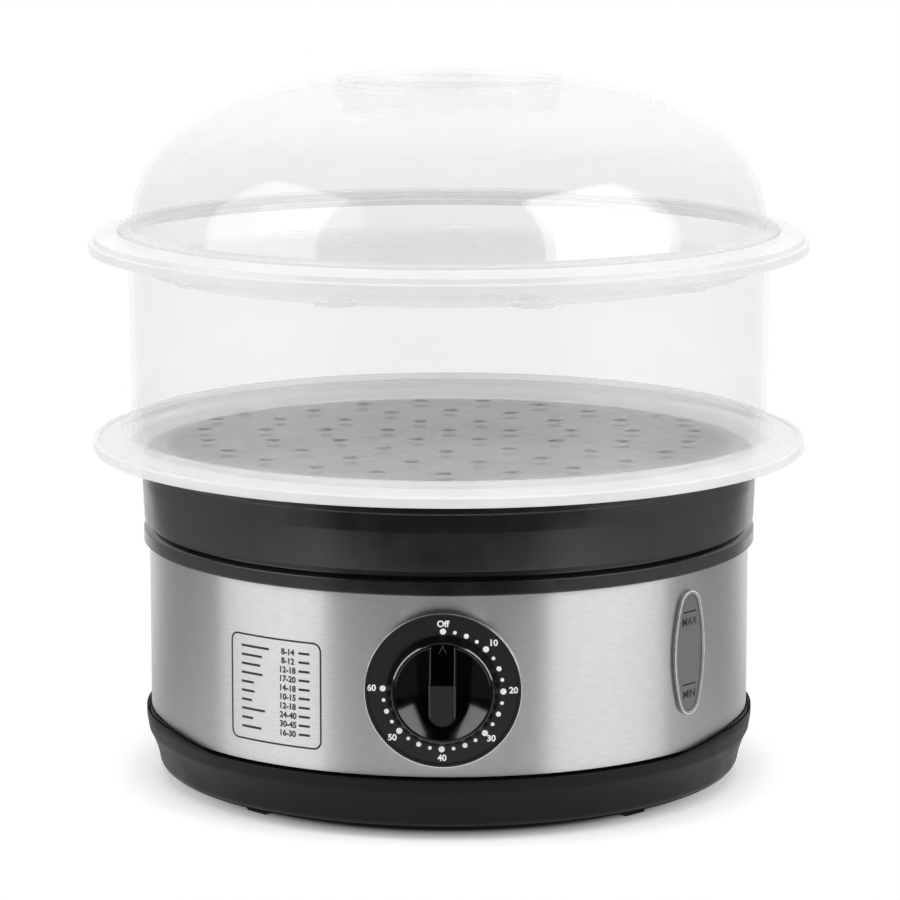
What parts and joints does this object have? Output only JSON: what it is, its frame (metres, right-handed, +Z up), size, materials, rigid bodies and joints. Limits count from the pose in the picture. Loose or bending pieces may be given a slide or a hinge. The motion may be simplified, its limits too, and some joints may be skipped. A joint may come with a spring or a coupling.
{
  "type": "electric food steamer",
  "caption": "Round electric food steamer: timer base with water tank and level window, drip tray, deep and shallow see-through trays that stack, and a domed lid with a sunken grip.",
  "frame": {"origin": "on the floor, under the centre of the round body", "axes": "+Z up; the timer dial faces -Y; +X is on the right of a viewer who faces the dial; the cord gland is at the back, towards +Y"},
  "size_m": [0.28, 0.28, 0.2738],
  "materials": {
    "black_plastic": "satin moulded black plastic with a fine grain",
    "dial_plastic": "semi-gloss black plastic with a plain white scale",
    "foot_rubber": "matte black rubber",
    "seal_rubber": "matte grey silicone",
    "sleeve_steel": "fine brushed stainless steel",
    "zinc_steel": "plain zinc-plated steel",
    "heater_aluminium": "cast aluminium",
    "contact_brass": "plain brass",
    "ivory_plastic": "matte ivory nylon",
    "dark_resin": "moulded phenolic resin",
    "window_plastic": "clear grey plastic with a frosted back",
    "clear_tray": "clear, slightly milky plastic",
    "clear_lid": "clear, slightly milky plastic"
  },
  "bodies": {
    "base": {"base_skirt": "black_plastic", "bottom_cover": "black_plastic", "feet": "foot_rubber", "base_screws": "zinc_steel", "cord_gland": "foot_rubber", "terminal_block": "ivory_plastic", "steel_sleeve": "sleeve_steel", "trim_ring": "black_plastic", "water_tank": "black_plastic", "window_bezel": "window_plastic", "window_pane": "window_plastic", "window_gasket": "seal_rubber", "heater_plate": "heater_aluminium", "heater_gasket": "seal_rubber", "heater_nut": "black_plastic", "heating_element": "zinc_steel", "thermostat": "dark_resin", "thermal_fuse": "zinc_steel", "dial_plate": "dial_plastic", "timer_screws": "zinc_steel", "timer_frame": "zinc_steel", "shaft_bush": "contact_brass", "timer_case": "ivory_plastic", "contact_blades": "contact_brass", "timer_bell": "zinc_steel", "bell_stud": "zinc_steel"},
    "timer": {"timer_knob": "dial_plastic", "timer_shaft": "zinc_steel", "timer_main_gear": "contact_brass", "switch_cam": "ivory_plastic"},
    "diffuser": {"steam_diffuser": "black_plastic"},
    "drip_tray_body": {"drip_tray": "clear_tray"},
    "lower_tray_body": {"lower_tray": "clear_tray"},
    "upper_tray_body": {"upper_tray": "clear_tray"},
    "lid_body": {"lid": "clear_lid"}
  },
  "joints": [
    {"name": "timer_turn", "type": "hinge", "parent": "base", "child": "timer", "pos_m": [0, -0.12, 0.059], "axis": [0, 1, 0], "range_deg": [0, 270]},
    {"name": "diffuser_lift", "type": "slide", "parent": "base", "child": "diffuser", "axis": [0, 0, 1], "range_m": [0, 0.03]},
    {"name": "drip_tray_lift", "type": "slide", "parent": "base", "child": "drip_tray_body", "axis": [0, 0, 1], "range_m": [0, 0.06]},
    {"name": "lower_tray_lift", "type": "slide", "parent": "drip_tray_body", "child": "lower_tray_body", "axis": [0, 0, 1], "range_m": [0, 0.06]},
    {"name": "upper_tray_lift", "type": "slide", "parent": "lower_tray_body", "child": "upper_tray_body", "axis": [0, 0, 1], "range_m": [0, 0.06]},
    {"name": "lid_lift", "type": "slide", "parent": "upper_tray_body", "child": "lid_body", "axis": [0, 0, 1], "range_m": [0, 0.08]}
  ]
}
